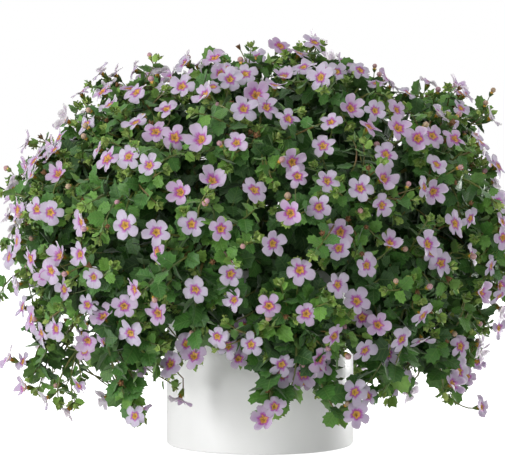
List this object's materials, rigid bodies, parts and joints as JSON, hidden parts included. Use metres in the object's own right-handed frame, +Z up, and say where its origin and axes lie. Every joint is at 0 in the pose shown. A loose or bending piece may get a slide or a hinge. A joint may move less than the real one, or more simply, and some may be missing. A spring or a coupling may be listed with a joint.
{
  "type": "potted bacopa",
  "caption": "Bushy flowering plant in a straight round pot: thin leafy stems rise from the soil, arch over the rim and carry small toothed leaves and five-lobed flowers.",
  "frame": {"origin": "middle of the pot's underside, which is the face it stands on", "axes": "+Z up the pot's axis, +X to the right and -Y to the front as the plant is seen in the picture"},
  "size_m": [0.418, 0.4027, 0.3209],
  "materials": {
    "pot": "smooth, satin",
    "soil": "rough, crumbly",
    "foliage": "matt leaf",
    "petals": "matt petal"
  },
  "bodies": {
    "root": {"pot": "pot", "soil": "soil", "leafy_stem_01": "foliage", "leafy_stem_02": "foliage", "leafy_stem_03": "foliage", "leafy_stem_04": "foliage", "leafy_stem_05": "foliage", "leafy_stem_06": "foliage", "leafy_stem_07": "foliage", "leafy_stem_08": "foliage", "leafy_stem_09": "foliage", "leafy_stem_10": "foliage", "leafy_stem_11": "foliage", "leafy_stem_12": "foliage", "leafy_stem_13": "foliage", "leafy_stem_14": "foliage", "leafy_stem_15": "foliage", "leafy_stem_16": "foliage", "leafy_stem_17": "foliage", "leafy_stem_18": "foliage", "leafy_stem_19": "foliage", "leafy_stem_20": "foliage", "leafy_stem_21": "foliage", "leafy_stem_22": "foliage", "leafy_stem_23": "foliage", "leafy_stem_24": "foliage", "leafy_stem_25": "foliage", "leafy_stem_26": "foliage", "leafy_stem_27": "foliage", "leafy_stem_28": "foliage", "leafy_stem_29": "foliage", "leafy_stem_30": "foliage", "leafy_stem_31": "foliage", "leafy_stem_32": "foliage", "leafy_stem_33": "foliage", "leafy_stem_34": "foliage", "leafy_stem_35": "foliage", "leafy_stem_36": "foliage"}
  },
  "joints": []
}
